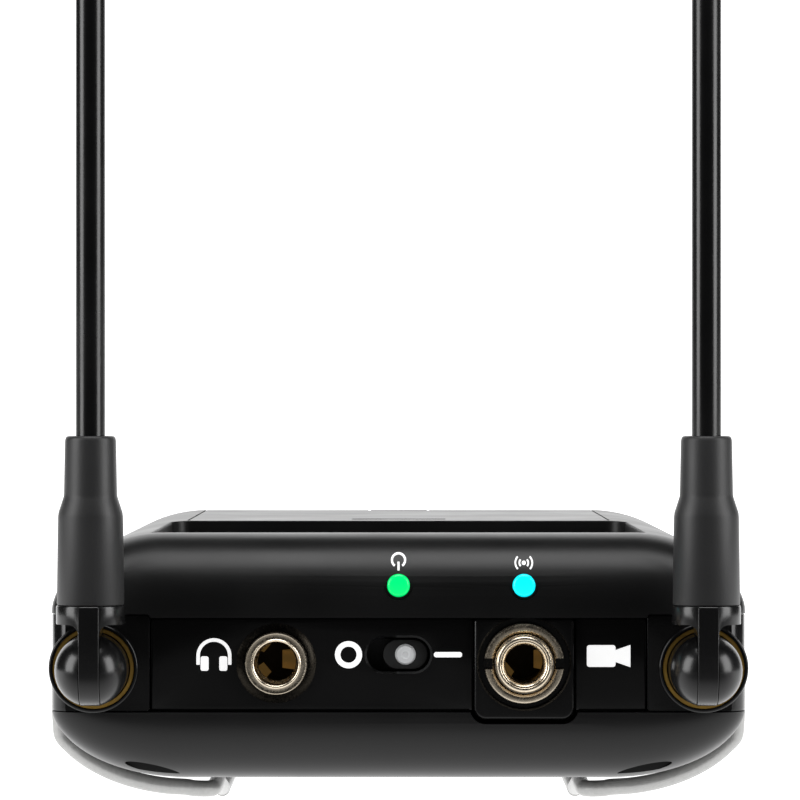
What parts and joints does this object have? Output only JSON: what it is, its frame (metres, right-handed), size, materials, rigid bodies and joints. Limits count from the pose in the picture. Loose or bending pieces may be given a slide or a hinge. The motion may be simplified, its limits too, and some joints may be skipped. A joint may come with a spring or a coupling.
{
  "type": "portable wireless audio receiver",
  "caption": "Pocket wireless audio receiver: rounded black case with folding whip antennas, jack sockets, slide switch, status lamps, battery door and wire belt clip.",
  "frame": {"origin": "centre of the whole object's box in plan, on the surface that the belt clip rests on", "axes": "+X across the case to the camera-jack side, -Y out of the connector panel, +Z out of the front cover"},
  "size_m": [0.0674, 0.1147, 0.0913],
  "materials": {
    "case_black": "satin, fine texture",
    "panel_black": "semi-gloss",
    "door_grey": "satin",
    "nickel": "bright, warm nickel",
    "brass": "satin",
    "steel": "satin",
    "steel_dark": "satin",
    "clip_wire": "satin nickel plate",
    "turret_black": "glossy",
    "boot_rubber": "satin, fine grain",
    "whip_black": "glossy",
    "slider_grey": "satin",
    "lens_green": "lit, frosted",
    "lens_blue": "lit, frosted",
    "led_resin": "clear resin",
    "inner_plastic": "moulded",
    "board_green": "solder mask",
    "display_grey": "liquid crystal panel",
    "window_dark": "polished",
    "cell_jacket": "printed sleeve, plain"
  },
  "bodies": {
    "case": {"rear_shell": "case_black", "front_shell": "case_black", "end_panel": "panel_black", "camera_panel": "panel_black", "control_panel": "panel_black", "case_screws": "steel_dark", "antenna_block_left": "panel_black", "antenna_block_right": "panel_black", "socket_rim_left": "panel_black", "socket_rim_right": "panel_black", "friction_ring_left": "brass", "friction_ring_right": "brass", "headphone_bush": "nickel", "headphone_body": "inner_plastic", "headphone_contacts": "brass", "camera_bush": "nickel", "ring_nut": "nickel", "camera_body": "inner_plastic", "camera_contacts": "brass", "power_switch_body": "inner_plastic", "power_lens": "lens_green", "signal_lens": "lens_blue", "indicator_leds": "led_resin", "main_board": "board_green", "rf_shields": "steel", "display_board": "board_green", "display_module": "display_grey", "display_window": "window_dark", "key_switches": "steel", "battery_tray": "inner_plastic", "cell_left": "cell_jacket", "cell_right": "cell_jacket", "contact_springs": "steel", "contact_plates": "steel", "door_pin": "steel"},
    "slider": {"power_slider": "slider_grey"},
    "menu_key": {"menu_button": "panel_black"},
    "set_key": {"set_button": "panel_black"},
    "door": {"battery_door": "door_grey"},
    "clip": {"belt_clip": "clip_wire"},
    "turret_l": {"turret_left": "turret_black", "retaining_ring_left": "steel", "fold_pin_left": "steel"},
    "turret_r": {"turret_right": "turret_black", "retaining_ring_right": "steel", "fold_pin_right": "steel"},
    "antenna_l": {"antenna_base_left": "turret_black", "antenna_boot_left": "boot_rubber", "antenna_whip_left": "whip_black", "antenna_tip_left": "whip_black"},
    "antenna_r": {"antenna_base_right": "turret_black", "antenna_boot_right": "boot_rubber", "antenna_whip_right": "whip_black", "antenna_tip_right": "whip_black"}
  },
  "joints": [
    {"name": "swivel_left", "type": "hinge", "parent": "case", "child": "turret_l", "pos_m": [-0.0286, -0.04863, 0.0153], "axis": [0, 1, 0], "range_deg": [-90, 15]},
    {"name": "swivel_right", "type": "hinge", "parent": "case", "child": "turret_r", "pos_m": [0.0286, -0.04863, 0.0153], "axis": [0, 1, 0], "range_deg": [-15, 90]},
    {"name": "fold_left", "type": "hinge", "parent": "turret_l", "child": "antenna_l", "pos_m": [-0.0286, -0.05402, 0.0153], "axis": [1, 0, 0], "range_deg": [0, 90]},
    {"name": "fold_right", "type": "hinge", "parent": "turret_r", "child": "antenna_r", "pos_m": [0.0286, -0.05402, 0.0153], "axis": [1, 0, 0], "range_deg": [0, 90]},
    {"name": "power_slide", "type": "slide", "parent": "case", "child": "slider", "axis": [1, 0, 0], "range_m": [-0.0015, 0]},
    {"name": "menu_press", "type": "slide", "parent": "case", "child": "menu_key", "axis": [0, 0, -1], "range_m": [0, 0.0004], "stiffness_N_per_m": 4000, "springref_m": -0.0003},
    {"name": "set_press", "type": "slide", "parent": "case", "child": "set_key", "axis": [0, 0, -1], "range_m": [0, 0.0004], "stiffness_N_per_m": 4000, "springref_m": -0.0003},
    {"name": "door_hinge", "type": "hinge", "parent": "case", "child": "door", "pos_m": [0, 0.05137, 0.0262], "axis": [-1, 0, 0], "range_deg": [0, 95]},
    {"name": "clip_hinge", "type": "hinge", "parent": "case", "child": "clip", "pos_m": [0, -0.03503, 0.0166], "axis": [-1, 0, 0], "range_deg": [0, 8], "stiffness_Nm_per_rad": 4, "springref_deg": -2.86}
  ]
}
